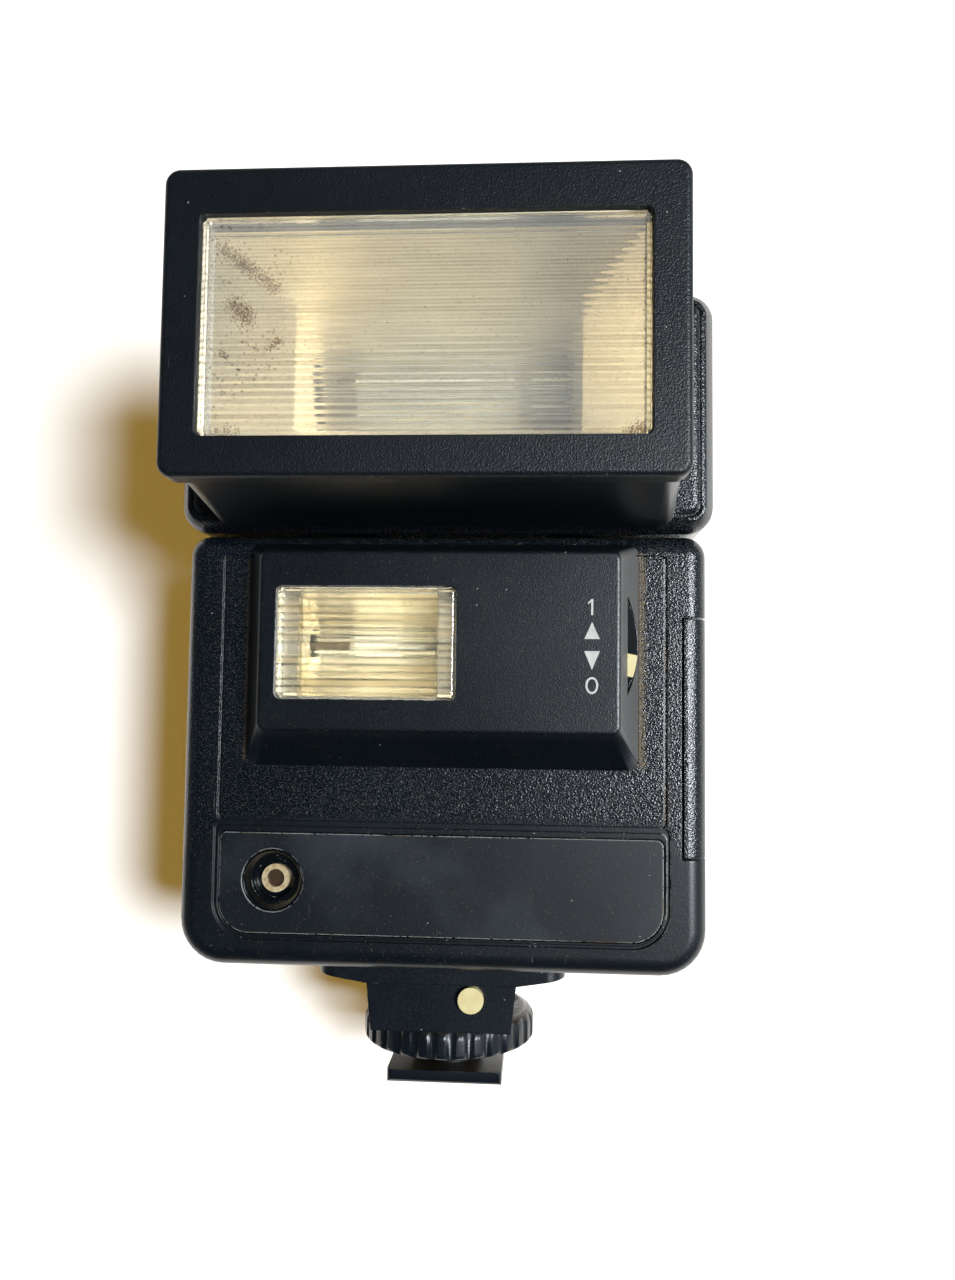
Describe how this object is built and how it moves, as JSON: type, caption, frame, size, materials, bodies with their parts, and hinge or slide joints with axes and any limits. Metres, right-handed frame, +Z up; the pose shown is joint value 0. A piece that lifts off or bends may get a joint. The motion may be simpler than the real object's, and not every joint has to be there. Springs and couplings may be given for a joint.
{
  "type": "electronic flash gun",
  "caption": "Hot-shoe electronic flash gun: tilting main head on a body with a small fixed fill flash, light sensor, side battery door and a shoe foot with lock wheel.",
  "frame": {"origin": "middle of the shoe plate's underside, on the foot stem's axis", "axes": "+Z up along the foot stem, -Y towards the front with the lenses, +X to the right seen from the front, the side of the battery door"},
  "size_m": [0.082, 0.0766, 0.129],
  "materials": {
    "case_plastic": "moulded blue-black plastic, fine grain, worn grey edges",
    "satin_plastic": "smooth satin blue-black plastic",
    "clear_plastic": "clear ribbed plastic, slightly yellowed",
    "tube_glass": "clear glass",
    "dark_glass": "smoked sensor glass",
    "reflector_sheet": "bright anodised sheet, slightly warm",
    "steel": "plated steel",
    "black_steel": "blackened steel",
    "brass": "gilt metal",
    "cream_plastic": "cream plastic",
    "orange_plastic": "orange translucent plastic",
    "grommet_rubber": "pale silicone rubber",
    "board_laminate": "green circuit board laminate",
    "cell_jacket": "plain printed metal jacket",
    "capacitor_sleeve": "dark shrink sleeve"
  },
  "bodies": {
    "body": {"front_case": "case_plastic", "rear_case": "case_plastic", "front_plate": "satin_plastic", "sensor_funnel": "satin_plastic", "sensor_can": "brass", "sensor_lens": "dark_glass", "fill_window": "clear_plastic", "fill_reflector": "reflector_sheet", "fill_tube": "tube_glass", "fill_electrodes": "steel", "battery_tray": "satin_plastic", "cells": "cell_jacket", "tray_contacts": "steel", "door_pin": "steel", "capacitor": "capacitor_sleeve", "circuit_board": "board_laminate", "transformer": "steel", "trigger_coil": "brass", "case_screws": "black_steel", "board_screws": "steel", "foot_block": "case_plastic", "foot_screws": "black_steel", "foot_stem": "black_steel", "shoe_plate": "satin_plastic", "button_spring": "steel", "contact_spring": "steel", "hinge_pin": "steel"},
    "head": {"head_shell": "case_plastic", "head_cover": "case_plastic", "bezel": "satin_plastic", "main_lens": "clear_plastic", "main_reflector": "reflector_sheet", "main_tube": "tube_glass", "main_electrodes": "steel", "tube_grommets": "grommet_rubber", "head_screws": "black_steel"},
    "fill_lever": {"fill_switch": "satin_plastic", "fill_index": "cream_plastic"},
    "door": {"battery_door": "case_plastic", "door_contacts": "steel"},
    "button": {"release_button": "cream_plastic"},
    "contact": {"centre_contact": "brass"},
    "clamp": {"clamp_washer": "black_steel"},
    "wheel": {"lock_wheel": "satin_plastic"},
    "power": {"power_switch": "satin_plastic"},
    "mode": {"mode_switch": "satin_plastic"},
    "test": {"test_button": "orange_plastic"}
  },
  "joints": [
    {"name": "head_tilt", "type": "hinge", "parent": "body", "child": "head", "pos_m": [0, 0.013, 0.0963], "axis": [-1, 0, 0], "range_deg": [0, 90]},
    {"name": "fill_switch_turn", "type": "hinge", "parent": "body", "child": "fill_lever", "pos_m": [0.014, -0.0251, 0.06995], "axis": [0, -1, 0], "range_deg": [0, 23]},
    {"name": "door_swing", "type": "hinge", "parent": "body", "child": "door", "pos_m": [0.0379, 0.0162, 0.0565], "axis": [0, 0, 1], "range_deg": [0, 90]},
    {"name": "release_press", "type": "slide", "parent": "body", "child": "button", "axis": [0, 1, 0], "range_m": [0, 0.001], "stiffness_N_per_m": 400, "springref_m": -0.001, "deforming": ["button_spring"]},
    {"name": "contact_press", "type": "slide", "parent": "body", "child": "contact", "axis": [0, 0, 1], "range_m": [0, 0.0006], "stiffness_N_per_m": 400, "springref_m": -0.001, "deforming": ["contact_spring"]},
    {"name": "wheel_turn", "type": "hinge", "parent": "clamp", "child": "wheel", "pos_m": [0, 0, 0.0076], "axis": [0, 0, -1], "range_deg": [0, 540]},
    {"name": "clamp_slide", "type": "slide", "parent": "body", "child": "clamp", "axis": [0, 0, -1], "range_m": [0, 0.0012]},
    {"name": "power_slide", "type": "slide", "parent": "body", "child": "power", "axis": [1, 0, 0], "range_m": [0, 0.004]},
    {"name": "mode_slide", "type": "slide", "parent": "body", "child": "mode", "axis": [1, 0, 0], "range_m": [0, 0.006]},
    {"name": "test_press", "type": "slide", "parent": "body", "child": "test", "axis": [0, -1, 0], "range_m": [0, 0.0006], "stiffness_N_per_m": 400, "springref_m": -0.001}
  ],
  "couplings": [
    {"joint": "wheel_turn", "follows": "clamp_slide", "rad_per_m": 7854}
  ]
}
